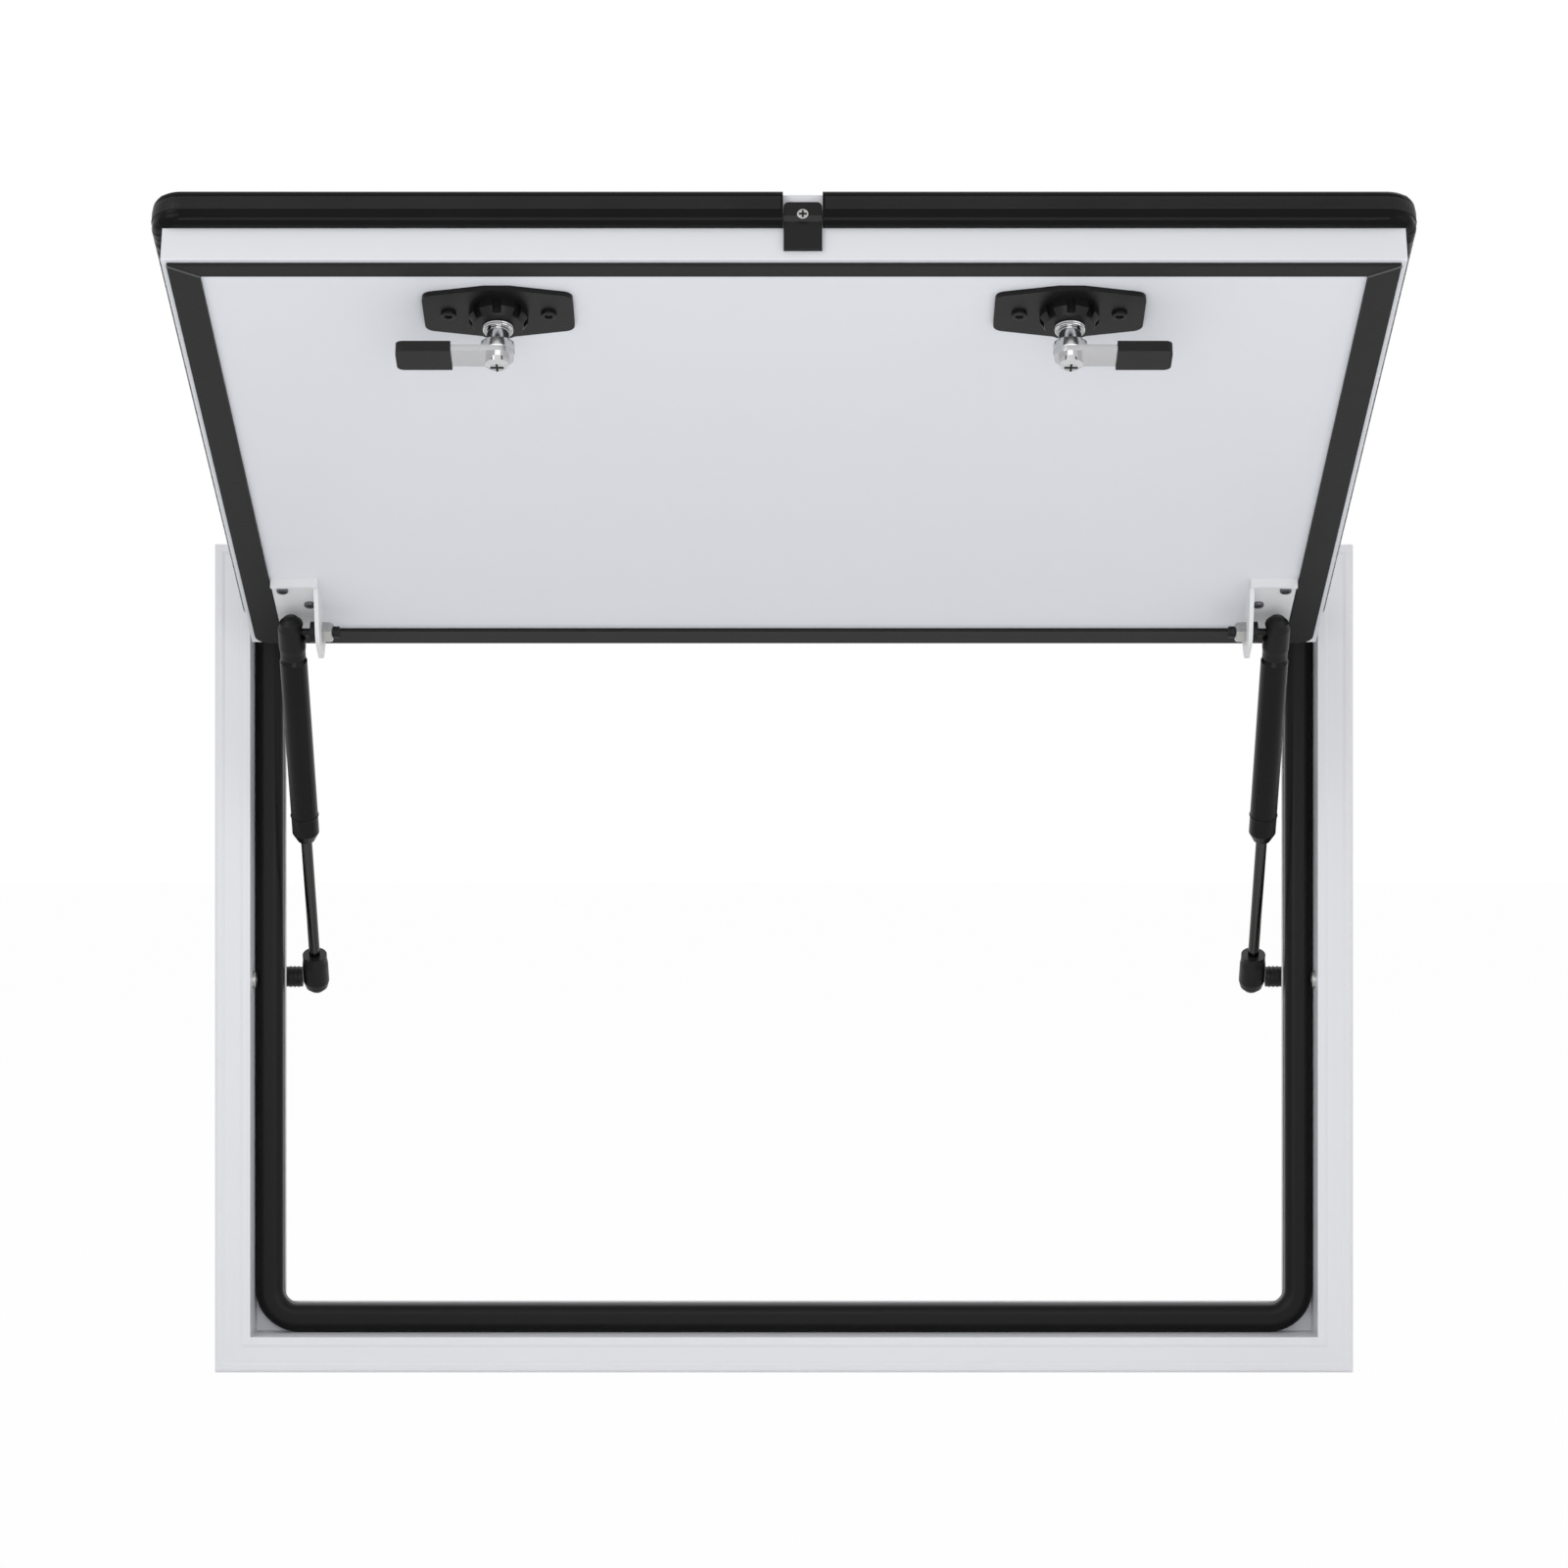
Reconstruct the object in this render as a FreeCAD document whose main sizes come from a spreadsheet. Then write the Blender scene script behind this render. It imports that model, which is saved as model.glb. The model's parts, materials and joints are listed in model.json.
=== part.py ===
"""Top-hinged storage compartment door for a camper, held open on two gas struts.

X runs to the right, Y runs into the vehicle and Z runs up, in millimetres. The origin lies on the
back face of the frame's flange, in the middle of the bottom rail.
"""

import FreeCAD
import Part
import math
import os
import re
import Sketcher

SIZES = {
    # Frame: four mitred rails with a face flange, a jamb wall and a lip that carries the bulb seal
    "frame_width": 610,
    "frame_height": 444,
    "flange_width": 19,
    "flange_thickness": 2.5,
    "flange_edge": 1.6,
    "flute_depth": 0.5,
    "flute_margin": 4,
    "flute_ramp": 1.5,
    "rail_wall": 1.8,
    "jamb_depth": 28,
    "lip_width": 16,
    "seal_width": 15,
    "seal_height": 12,
    "seal_corner": 23,
    "seal_round": 5,
    "fit_gap": 0.3,
    # Door slab: an edge channel round a core, with a skin on each face
    "side_gap": 5,
    "bottom_gap": 5.5,
    "hinge_room": 12,
    "slab_thickness": 34,
    "channel_wall": 1.6,
    "outer_leg": 14,
    "inner_leg": 22,
    "open_angle": 114.5,
    # Black edge trim, its joint and the door's own gasket
    "trim_thickness": 17.5,
    "trim_overhang": 6,
    "trim_seat": 1,
    "trim_corner": 14,
    "trim_round": 4,
    "trim_joint_offset": 8.5,
    "trim_joint_gap": 18,
    "clip_width": 18,
    "clip_thickness": 2.2,
    "clip_tab": 12,
    "clip_round": 2.5,
    "gasket_inset": 2.5,
    "gasket_width": 14,
    "gasket_free_width": 9,
    "gasket_thickness": 2,
    "gasket_corner": 8,
    # Piano hinge
    "pin_inset": 3,
    "pin_rise": 4,
    "pin_radius": 1.6,
    "knuckle_radius": 3.2,
    "knuckle_count": 9,
    "knuckle_gap": 0.5,
    "hinge_end": 3,
    "leaf_thickness": 1.5,
    "leaf_reach": 26,
    # Gas struts
    "strut_inset": 14,
    "upper_ball_along": 38,
    "upper_ball_out": 13,
    "lower_ball_depth": 50,
    "lower_ball_height": 200.5,
    "tube_radius": 7.2,
    "tube_length": 116,
    "tube_mouth": 5,
    "rod_radius": 3,
    "rod_length": 112,
    "rod_fit": 0.25,
    "fitting_radius": 7,
    "fitting_neck": 6.6,
    "fitting_length": 15,
    "fitting_crown": 9.5,
    "ball_radius": 4.6,
    "ball_fit": 0.25,
    "stud_neck": 3,
    "stud_hex": 5.5,
    "stud_hex_length": 4,
    # Strut brackets
    "bracket_sheet": 2.2,
    "bracket_length": 56,
    "bracket_plate": 24,
    "bracket_start": 18,
    "bracket_flange": 14,
    "bracket_tongue": 12,
    "bracket_round": 6,
    "bracket_rim": 5,
    "stud_plate_inset": 4.5,
    "stud_plate_height": 44,
    "stud_plate_depth": 34,
    # Turn latches
    "latch_inset": 150,
    "latch_rise": 43.5,
    "barrel_radius": 6.5,
    "barrel_bore": 3.8,
    "barrel_reach": 12,
    "rose_radius": 21,
    "rose_thickness": 5,
    "key_radius": 5.5,
    "plate_width": 69,
    "plate_end": 30,
    "plate_middle": 42,
    "plate_thickness": 2.5,
    "plate_screws": 46,
    "plate_hole": 2.2,
    "plate_round": 5,
    "collar_radius": 13.7,
    "collar_height": 7,
    "collar_notch": 4,
    "cam_offset": 24.5,
    "cam_thickness": 3,
    "cam_length": 45,
    "cam_width": 15,
    "cam_round": 2,
    "cam_hub": 8,
    "hub_flange": 4,
    "spindle_neck": 5.2,
    "cam_nut": 5.5,
    "cam_nut_height": 5,
    "sleeve_length": 24,
    "sleeve_wall": 1.2,
    "spindle_radius": 3.5,
}

doc = FreeCAD.newDocument("StorageDoor")
sheet = doc.addObject("Spreadsheet::Sheet", "Sizes")
for row, (alias, value) in enumerate(SIZES.items(), start=1):
    sheet.set(f"A{row}", alias)
    sheet.set(f"B{row}", str(value))
    sheet.setAlias(f"B{row}", alias)
doc.recompute()

PARTS = []
FUNCTIONS = ("sin", "cos", "tan", "sqrt", "deg")


def size(alias):
    """A driving dimension's value."""
    return float(sheet.get(alias))


def bound(text):
    """An expression on the sheet's aliases, written with plain names."""
    def named(match):
        word = match.group(0)
        return word if word in FUNCTIONS else "Sizes." + word
    return re.sub(r"[a-z][a-z_]+", named, str(text))


def new_body(label):
    """A body whose label names its file."""
    body = doc.addObject("PartDesign::Body", label)
    body.Label = label
    PARTS.append(body)
    return body


def sketch_on(body, name, role, offset="0"):
    """A sketch on one of the body's own origin planes, moved along its normal."""
    sketch = body.newObject("Sketcher::SketchObject", name)
    plane = next(item for item in body.Origin.OriginFeatures if item.Role == role)
    sketch.AttachmentSupport = [(plane, "")]
    sketch.MapMode = "FlatFace"
    sketch.setExpression("AttachmentOffset.Base.z", bound(offset))
    return sketch


def fix_point(sketch, geometry, vertex, place):
    """Ties one point of a sketch to two expressions."""
    for kind, text in zip(("DistanceX", "DistanceY"), place):
        index = sketch.addConstraint(Sketcher.Constraint(kind, -1, 1, geometry, vertex, 1.0))
        sketch.setExpression(f"Constraints[{index}]", bound(text))


def polygon(sketch, places):
    """A closed outline through points given as pairs of expressions."""
    count = len(places)
    first = sketch.GeometryCount
    turns = [2 * math.pi * i / count for i in range(count)]
    start = [FreeCAD.Vector(50 * math.cos(turn), 50 * math.sin(turn), 0) for turn in turns]
    for i in range(count):
        sketch.addGeometry(Part.LineSegment(start[i], start[(i + 1) % count]), False)
    for i in range(count):
        sketch.addConstraint(Sketcher.Constraint("Coincident", first + i, 2, first + (i + 1) % count, 1))
    for i, place in enumerate(places):
        fix_point(sketch, first + i, 1, place)


def circle(sketch, place, radius):
    """A circle at a point given as a pair of expressions."""
    index = sketch.addGeometry(Part.Circle(FreeCAD.Vector(1, 1, 0), FreeCAD.Vector(0, 0, 1), 2), False)
    fix_point(sketch, index, 3, place)
    limit = sketch.addConstraint(Sketcher.Constraint("Radius", index, 2.0))
    sketch.setExpression(f"Constraints[{limit}]", bound(radius))


def pad(body, sketch, length, both=False, back=False):
    """A pad of the sketch: to both sides of it, or to one."""
    feature = body.newObject("PartDesign::Pad", sketch.Name + "Pad")
    feature.Profile = sketch
    feature.setExpression("Length", bound(length))
    feature.Midplane = both
    feature.Reversed = back
    return feature


def pocket(body, sketch, length, both=False, back=False):
    """A pocket of the sketch, which has to take something away."""
    doc.recompute()
    before = body.Shape.Volume
    feature = body.newObject("PartDesign::Pocket", sketch.Name + "Pocket")
    feature.Profile = sketch
    feature.setExpression("Length", bound(length))
    feature.Midplane = both
    feature.Reversed = back
    doc.recompute()
    if body.Shape.Volume >= before - 1e-6:
        raise RuntimeError(f"{sketch.Name} cuts nothing")
    return feature


def revolve(body, name, places):
    """A full turn of an outline of (radius, height) points about the body's own Z axis."""
    sketch = sketch_on(body, name, "XZ_Plane")
    polygon(sketch, places)
    feature = body.newObject("PartDesign::Revolution", name + "Turn")
    feature.Profile = sketch
    feature.ReferenceAxis = (sketch, ["V_Axis"])
    feature.Angle = 360
    return feature


def round_edges(body, name, radius, chosen):
    """A fillet on the edges of the body that the test picks out."""
    doc.recompute()
    base = body.Tip
    names = [f"Edge{i}" for i, edge in enumerate(base.Shape.Edges, start=1) if chosen(edge)]
    if not names:
        raise RuntimeError(f"{name} finds no edge")
    feature = body.newObject("PartDesign::Fillet", name)
    feature.Base = (base, names)
    feature.setExpression("Radius", bound(radius))
    doc.recompute()
    return feature


def spans(edge, axis):
    """The edge's lowest and highest value on an axis."""
    box = edge.BoundBox
    return {"x": (box.XMin, box.XMax), "y": (box.YMin, box.YMax), "z": (box.ZMin, box.ZMax)}[axis]


def lies_at(edge, axis, value):
    """Whether the whole edge lies at one value on an axis."""
    low, high = spans(edge, axis)
    return abs(low - value) < 1e-4 and abs(high - value) < 1e-4


# Derived places, as expressions on the sheet
HALF_WIDTH = "(frame_width / 2)"
HALF_HEIGHT = "(frame_height / 2)"
CENTRE_HEIGHT = "(frame_height / 2 - flange_width / 2)"
JAMB_X = "(frame_width / 2 - flange_width)"
JAMB_BOTTOM = "(flange_width / 2)"
JAMB_TOP = "(frame_height - 3 * flange_width / 2)"
SLAB_X = f"({JAMB_X} - side_gap)"
SLAB_BOTTOM = f"({JAMB_BOTTOM} + bottom_gap)"
SLAB_TOP = f"({JAMB_TOP} - hinge_room)"
TRIM_BACK = "(0 - flange_thickness - trim_seat)"
SLAB_FRONT = f"({TRIM_BACK} - trim_thickness)"
SLAB_BACK = f"({SLAB_FRONT} + slab_thickness)"
PIN_Y = f"({SLAB_FRONT} + pin_inset)"
PIN_Z = f"({SLAB_TOP} + pin_rise)"
LATCH_Z = f"({SLAB_BOTTOM} + latch_rise)"
LATCH_X = f"({SLAB_X} - latch_inset)"
STRUT_X = f"({JAMB_X} - lip_width - strut_inset)"
STUD_FACE = f"({JAMB_X} - lip_width + stud_plate_inset)"
HINGE_LENGTH = f"(2 * {SLAB_X} - 2 * hinge_end)"
KNUCKLE_PITCH = f"({HINGE_LENGTH} / knuckle_count)"

# The same places as numbers, for placements
centre_height = size("frame_height") / 2 - size("flange_width") / 2
jamb_x = size("frame_width") / 2 - size("flange_width")
jamb_bottom = size("flange_width") / 2
jamb_top = size("frame_height") - 1.5 * size("flange_width")
slab_x = jamb_x - size("side_gap")
slab_bottom = jamb_bottom + size("bottom_gap")
slab_top = jamb_top - size("hinge_room")
trim_back = -size("flange_thickness") - size("trim_seat")
slab_front = trim_back - size("trim_thickness")
slab_back = slab_front + size("slab_thickness")
pin = FreeCAD.Vector(0, slab_front + size("pin_inset"), slab_top + size("pin_rise"))
latch_z = slab_bottom + size("latch_rise")
latch_x = slab_x - size("latch_inset")
strut_x = jamb_x - size("lip_width") - size("strut_inset")

X_AXIS = FreeCAD.Vector(1, 0, 0)
Y_AXIS = FreeCAD.Vector(0, 1, 0)
NO_TURN = FreeCAD.Rotation()
OPENED = FreeCAD.Placement(FreeCAD.Vector(), FreeCAD.Rotation(X_AXIS, -size("open_angle")), pin)
# A turned piece's own axis laid along the vehicle's depth or across it
ALONG_Y = FreeCAD.Rotation(X_AXIS, -90)
ALONG_X = FreeCAD.Rotation(Y_AXIS, 90)
AGAINST_X = FreeCAD.Rotation(Y_AXIS, -90)


def on_door(body, place=FreeCAD.Vector(), turn=NO_TURN):
    """Sets a piece that is drawn with the door shut where the open door carries it."""
    body.Placement = OPENED.multiply(FreeCAD.Placement(place, turn))


def on_frame(body, place=FreeCAD.Vector(), turn=NO_TURN):
    """Sets a piece of the fixed frame in its place."""
    body.Placement = FreeCAD.Placement(place, turn)


def mitre(body, name, half, run, reach):
    """Cuts both ends of a rail at 45 degrees, outward from its inner edge."""
    sketch = sketch_on(body, name, "XZ_Plane")
    for sign in ("", "0 - "):
        polygon(sketch, [
            (f"{half} + 2", f"{sign}({run} + 2)"),
            (f"{half} - {reach}", f"{sign}({run} - {reach})"),
            (f"{half} - {reach}", f"{sign}({run} + 2)"),
        ])
    pocket(body, sketch, "slab_thickness * 6", both=True)


def frame_rail(label, half, run, turn):
    """One mitred rail: a fluted face flange, the jamb wall and the seal's lip."""
    body = new_body(label)
    sketch = sketch_on(body, label + "Section", "XY_Plane")
    inner = f"{half} - flange_width"
    polygon(sketch, [
        (half, "0"),
        (half, "flange_edge - flange_thickness"),
        (f"{half} - flange_edge * 0.3", "flange_edge * 0.3 - flange_thickness"),
        (f"{half} - flange_edge", "0 - flange_thickness"),
        (f"{half} - flute_margin", "0 - flange_thickness"),
        (f"{half} - flute_margin - flute_ramp", "flute_depth - flange_thickness"),
        (f"{inner} + flute_margin + flute_ramp", "flute_depth - flange_thickness"),
        (f"{inner} + flute_margin", "0 - flange_thickness"),
        (inner, "0 - flange_thickness"),
        (inner, "jamb_depth"),
        (f"{inner} - lip_width", "jamb_depth"),
        (f"{inner} - lip_width", "jamb_depth + rail_wall"),
        (f"{inner} + rail_wall", "jamb_depth + rail_wall"),
        (f"{inner} + rail_wall", "0"),
    ])
    pad(body, sketch, f"2 * {run}", both=True)
    mitre(body, label + "Mitre", half, run, "(flange_width + lip_width + 6)")
    on_frame(body, FreeCAD.Vector(0, 0, centre_height), turn)


def frame_seal():
    """The black bulb seal: one loop on the frame's lip, round-nosed towards the door."""
    body = new_body("frame_seal")
    sketch = sketch_on(body, "SealLoop", "XZ_Plane", "0 - jamb_depth")
    for inset in ("fit_gap", "(fit_gap + seal_width)"):
        wide = f"({JAMB_X} - {inset})"
        low = f"({JAMB_BOTTOM} + {inset})"
        high = f"({JAMB_TOP} - {inset})"
        polygon(sketch, [(wide, low), (wide, high), (f"0 - {wide}", high), (f"0 - {wide}", low)])
    pad(body, sketch, "seal_height")

    def corner_at(inset):
        return lambda edge: (abs(abs(edge.BoundBox.Center.x) - jamb_x + inset) < 1e-3
                             and abs(edge.Length - size("seal_height")) < 1e-3)
    outer = size("fit_gap")
    round_edges(body, "SealOuterCorner", "seal_corner", corner_at(outer))
    round_edges(body, "SealInnerCorner", "seal_corner - seal_width", corner_at(outer + size("seal_width")))
    nose = size("jamb_depth") - size("seal_height")
    round_edges(body, "SealNose", "seal_round", lambda edge: lies_at(edge, "y", nose))
    on_frame(body)


def edge_channel(label, half, run, turn):
    """One mitred side of the slab's white edge channel, with a leg on each face."""
    body = new_body(label)
    sketch = sketch_on(body, label + "Section", "XY_Plane")
    polygon(sketch, [
        (half, SLAB_FRONT),
        (half, SLAB_BACK),
        (f"{half} - inner_leg", SLAB_BACK),
        (f"{half} - inner_leg", f"{SLAB_BACK} - channel_wall"),
        (f"{half} - channel_wall", f"{SLAB_BACK} - channel_wall"),
        (f"{half} - channel_wall", f"{SLAB_FRONT} + channel_wall"),
        (f"{half} - outer_leg", f"{SLAB_FRONT} + channel_wall"),
        (f"{half} - outer_leg", SLAB_FRONT),
    ])
    pad(body, sketch, f"2 * {run}", both=True)
    mitre(body, label + "Mitre", half, run, "(inner_leg + 6)")
    on_door(body, FreeCAD.Vector(0, 0, (slab_top + slab_bottom) / 2), turn)


def slab_sheet(label, front, thickness, inset, hole):
    """A flat sheet of the slab with a round hole for each latch barrel."""
    body = new_body(label)
    sketch = sketch_on(body, label + "Outline", "XZ_Plane", f"0 - {front}")
    wide = f"({SLAB_X} - {inset})"
    low = f"({SLAB_BOTTOM} + {inset})"
    high = f"({SLAB_TOP} - {inset})"
    polygon(sketch, [(wide, low), (wide, high), (f"0 - {wide}", high), (f"0 - {wide}", low)])
    for sign in ("", "0 - "):
        circle(sketch, (f"{sign}{LATCH_X}", LATCH_Z), hole)
    pad(body, sketch, thickness, back=True)
    on_door(body)


def door_gasket():
    """The flat black gasket round the slab's inner face."""
    body = new_body("door_gasket")
    sketch = sketch_on(body, "GasketOutline", "XZ_Plane", f"0 - {SLAB_BACK}")
    inner = "(gasket_inset + gasket_width)"
    free = "(gasket_inset + gasket_free_width)"
    for inset, foot in (("gasket_inset", "gasket_inset"), (inner, free)):
        wide = f"({SLAB_X} - {inset})"
        low = f"({SLAB_BOTTOM} + {foot})"
        high = f"({SLAB_TOP} - {inset})"
        polygon(sketch, [(wide, low), (wide, high), (f"0 - {wide}", high), (f"0 - {wide}", low)])
    pad(body, sketch, "gasket_thickness", back=True)
    top = slab_top - size("gasket_inset")
    side = slab_x - size("gasket_inset")
    round_edges(body, "GasketCorner", "gasket_corner",
                lambda edge: lies_at(edge, "z", top) and abs(abs(edge.BoundBox.Center.x) - side) < 1e-3
                and spans(edge, "x")[1] - spans(edge, "x")[0] < 1e-3)
    on_door(body)


def edge_trim(label, side, joint):
    """Half of the black rubber trim: down one side, round the corner and along the free edge."""
    body = new_body(label)
    sketch = sketch_on(body, label + "Outline", "XZ_Plane", f"0 - {SLAB_FRONT}")
    outer = f"({SLAB_X} + trim_overhang)"
    low = f"({SLAB_BOTTOM} - trim_overhang)"
    sign = "" if side > 0 else "0 - "
    polygon(sketch, [
        (f"{sign}{SLAB_X}", SLAB_TOP),
        (f"{sign}{outer}", SLAB_TOP),
        (f"{sign}{outer}", low),
        (joint, low),
        (joint, SLAB_BOTTOM),
        (f"{sign}{SLAB_X}", SLAB_BOTTOM),
    ])
    pad(body, sketch, "trim_thickness", back=True)
    reach = slab_x + size("trim_overhang")
    foot = slab_bottom - size("trim_overhang")
    round_edges(body, label + "Corner", "trim_corner",
                lambda edge: lies_at(edge, "x", side * reach) and lies_at(edge, "z", foot))

    def nose(edge):
        flat = lies_at(edge, "y", slab_front) or lies_at(edge, "y", trim_back)
        outward = abs(spans(edge, "x")[0 if side < 0 else 1] - side * reach) < 1e-3
        return flat and (outward or lies_at(edge, "z", foot)) and edge.Length > size("trim_overhang") + 1
    round_edges(body, label + "Nose", "trim_round", nose)
    on_door(body)


def trim_clip():
    """The black clip over the trim's joint, with a tab on the slab's free edge."""
    body = new_body("trim_clip")
    sketch = sketch_on(body, "ClipSection", "YZ_Plane", "trim_joint_offset")
    base = f"({SLAB_BOTTOM})"
    nose = f"({SLAB_FRONT} + trim_overhang)"
    polygon(sketch, [
        (nose, base),
        (f"{TRIM_BACK} + clip_tab", base),
        (f"{TRIM_BACK} + clip_tab", f"{base} - clip_thickness"),
        (f"{TRIM_BACK} - clip_thickness", f"{base} - clip_thickness"),
        (f"{TRIM_BACK} - 2 * clip_thickness", f"{base} - trim_overhang + clip_thickness"),
        (nose, f"{base} - trim_overhang + clip_thickness"),
    ])
    pad(body, sketch, "clip_width - 2 * fit_gap", both=True)
    front = slab_front + size("trim_overhang")
    round_edges(body, "ClipRounds", "clip_round",
                lambda edge: lies_at(edge, "y", front)
                and spans(edge, "x")[1] - spans(edge, "x")[0] < 1e-3)
    on_door(body)


def hinge_leaf(label, opened):
    """A leaf of the piano hinge with every other knuckle, rolled round the pin."""
    body = new_body(label)
    sketch = sketch_on(body, label + "Section", "YZ_Plane")
    if opened:
        polygon(sketch, [
            (PIN_Y, SLAB_TOP),
            (f"{PIN_Y} + leaf_reach", SLAB_TOP),
            (f"{PIN_Y} + leaf_reach", f"{SLAB_TOP} + leaf_thickness"),
            (PIN_Y, f"{SLAB_TOP} + leaf_thickness"),
        ])
    else:
        shelf = f"({PIN_Z} + knuckle_radius)"
        polygon(sketch, [
            (PIN_Y, shelf),
            (PIN_Y, f"{shelf} - leaf_thickness"),
            ("leaf_thickness", f"{shelf} - leaf_thickness"),
            ("leaf_thickness", f"{JAMB_TOP} - leaf_thickness"),
            ("jamb_depth - seal_height - fit_gap", f"{JAMB_TOP} - leaf_thickness"),
            ("jamb_depth - seal_height - fit_gap", JAMB_TOP),
            ("0", JAMB_TOP),
            ("0", shelf),
        ])
    pad(body, sketch, HINGE_LENGTH, both=True)
    knuckle = sketch_on(body, label + "Knuckle", "YZ_Plane")
    circle(knuckle, (PIN_Y, PIN_Z), "knuckle_radius")
    pad(body, knuckle, HINGE_LENGTH, both=True)
    bore = sketch_on(body, label + "Bore", "YZ_Plane")
    circle(bore, (PIN_Y, PIN_Z), "pin_radius" if not opened else "pin_radius + fit_gap")
    pocket(body, bore, f"{HINGE_LENGTH} + 2", both=True)
    count = int(size("knuckle_count"))
    gaps = sketch_on(body, label + "Gaps", "XY_Plane", f"{PIN_Z}")
    clear = "(knuckle_radius + fit_gap)"
    for i in range(count):
        if (i % 2 == 1) == opened:
            continue
        middle = f"({i} - (knuckle_count - 1) / 2) * {KNUCKLE_PITCH}"
        wide = f"({KNUCKLE_PITCH} / 2 + knuckle_gap / 2)"
        polygon(gaps, [
            (f"{middle} - {wide}", f"{PIN_Y} - {clear} - 2"),
            (f"{middle} + {wide}", f"{PIN_Y} - {clear} - 2"),
            (f"{middle} + {wide}", f"{PIN_Y} + {clear}"),
            (f"{middle} - {wide}", f"{PIN_Y} + {clear}"),
        ])
    pocket(body, gaps, "4 * knuckle_radius", both=True)
    if opened:
        on_door(body)
    else:
        on_frame(body)


def hinge_pin():
    """The hinge's pin, fixed in the frame leaf's knuckles."""
    body = new_body("hinge_pin")
    sketch = sketch_on(body, "PinSection", "YZ_Plane")
    circle(sketch, (PIN_Y, PIN_Z), "pin_radius")
    pad(body, sketch, HINGE_LENGTH, both=True)
    on_frame(body)


def strut_bracket(label, side):
    """An angle bracket on the slab's inner face with a rounded tongue that holds the ball stud."""
    body = new_body(label)
    sign = "" if side > 0 else "0 - "
    inner = f"({STRUT_X} - bracket_flange - bracket_sheet)"
    low = f"({SLAB_TOP} - bracket_start - bracket_length)"
    plate = sketch_on(body, label + "Plate", "XZ_Plane", f"0 - {SLAB_BACK}")
    polygon(plate, [
        (f"{sign}{inner}", low),
        (f"{sign}({inner} + bracket_plate)", low),
        (f"{sign}({inner} + bracket_plate)", f"{SLAB_TOP} - bracket_start"),
        (f"{sign}{inner}", f"{SLAB_TOP} - bracket_start"),
    ])
    pad(body, plate, "bracket_sheet", back=True)
    rim = sketch_on(body, label + "Rim", "XZ_Plane", f"0 - {SLAB_BACK}")
    polygon(rim, [
        (f"{sign}{inner}", low),
        (f"{sign}({inner} + bracket_plate)", low),
        (f"{sign}({inner} + bracket_plate)", f"{low} + bracket_sheet"),
        (f"{sign}{inner}", f"{low} + bracket_sheet"),
    ])
    pad(body, rim, "bracket_rim", back=True)
    tongue = sketch_on(body, label + "Tongue", "YZ_Plane", f"{sign}({inner} + bracket_sheet / 2)")
    tip = f"({SLAB_BACK} + upper_ball_out + bracket_tongue)"
    ball = f"({SLAB_TOP} - upper_ball_along)"
    polygon(tongue, [
        (SLAB_BACK, low),
        (SLAB_BACK, f"{SLAB_TOP} - bracket_start"),
        (tip, f"{ball} + bracket_tongue"),
        (tip, f"{ball} - bracket_tongue"),
    ])
    pad(body, tongue, "bracket_sheet", both=True)
    far = slab_back + size("upper_ball_out") + size("bracket_tongue")
    round_edges(body, label + "Tip", "bracket_tongue * 0.9",
                lambda edge: lies_at(edge, "y", far) and abs(edge.Length - size("bracket_sheet")) < 1e-3)
    outer = strut_x - size("bracket_flange") - size("bracket_sheet") + size("bracket_plate")
    round_edges(body, label + "Corners", "bracket_round",
                lambda edge: lies_at(edge, "x", side * outer)
                and abs(spans(edge, "y")[1] - spans(edge, "y")[0] - size("bracket_sheet")) < 1e-3
                and abs(spans(edge, "z")[1] - spans(edge, "z")[0]) < 1e-3)
    hole = sketch_on(body, label + "Hole", "YZ_Plane", f"{sign}({inner} + bracket_sheet / 2)")
    circle(hole, (f"{SLAB_BACK} + upper_ball_out", ball), "stud_neck")
    pocket(body, hole, "bracket_sheet * 2", both=True)
    on_door(body)


def stud_bracket(label, side):
    """An angle behind the frame's lip whose leg holds the strut's lower stud."""
    body = new_body(label)
    sign = "" if side > 0 else "0 - "
    sketch = sketch_on(body, label + "Section", "XY_Plane", "lower_ball_height")
    face = STUD_FACE
    back = "(jamb_depth + rail_wall)"
    polygon(sketch, [
        (f"{sign}{face}", back),
        (f"{sign}{JAMB_X}", back),
        (f"{sign}{JAMB_X}", f"{back} + bracket_sheet"),
        (f"{sign}({face} + bracket_sheet)", f"{back} + bracket_sheet"),
        (f"{sign}({face} + bracket_sheet)", f"{back} + stud_plate_depth"),
        (f"{sign}{face}", f"{back} + stud_plate_depth"),
    ])
    pad(body, sketch, "stud_plate_height", both=True)
    hole = sketch_on(body, label + "Hole", "YZ_Plane", f"{sign}({face} + bracket_sheet / 2)")
    circle(hole, ("lower_ball_depth", "lower_ball_height"), "stud_neck")
    pocket(body, hole, "bracket_sheet * 3", both=True)
    on_frame(body)


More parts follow.
